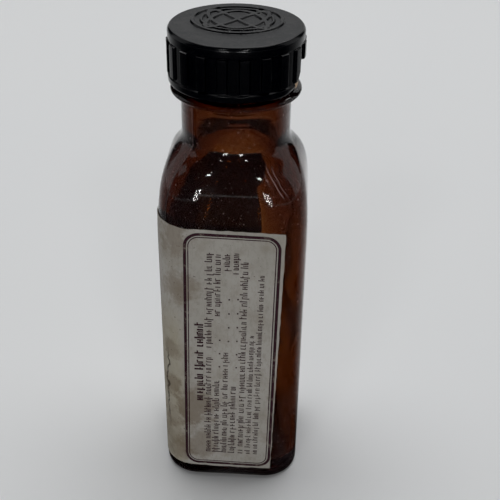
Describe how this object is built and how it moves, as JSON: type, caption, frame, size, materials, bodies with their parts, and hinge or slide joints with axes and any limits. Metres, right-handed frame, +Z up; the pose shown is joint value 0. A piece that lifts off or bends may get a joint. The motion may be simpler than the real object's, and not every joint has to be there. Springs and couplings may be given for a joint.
{
  "type": "square medicine bottle with screw cap",
  "caption": "Square-bodied amber glass medicine bottle with a round threaded neck, fluted screw cap, disc liner and wrap-round paper label.",
  "frame": {"origin": "centre of the base, on the surface the bottle stands on", "axes": "+Z up along the neck, -Y the front face with the label's main panel, -X the side that the label wraps round"},
  "size_m": [0.036, 0.0364, 0.121],
  "materials": {
    "amber_glass": "smooth pressed amber glass, glossy",
    "black_phenolic": "moulded black phenolic, glossy skirt and dusty dull top",
    "pulpboard": "matt pressed pulp",
    "varnished_paper": "varnished paper, slight sheen",
    "aged_paper": "aged matt paper with stains"
  },
  "bodies": {
    "bottle": {"bottle": "amber_glass", "label": "aged_paper"},
    "liner": {"liner_backing": "pulpboard", "liner_facing": "varnished_paper"},
    "cap": {"cap_shell": "black_phenolic"}
  },
  "joints": [
    {"name": "cap_lift", "type": "slide", "parent": "bottle", "child": "liner", "axis": [0, 0, 1], "range_m": [0, 0.0128]},
    {"name": "cap_turn", "type": "hinge", "parent": "liner", "child": "cap", "pos_m": [0, 0, 0.1084], "axis": [0, 0, 1], "range_deg": [0, 1080]}
  ],
  "couplings": [
    {"joint": "cap_lift", "follows": "cap_turn", "m_per_rad": 0.00067376}
  ]
}
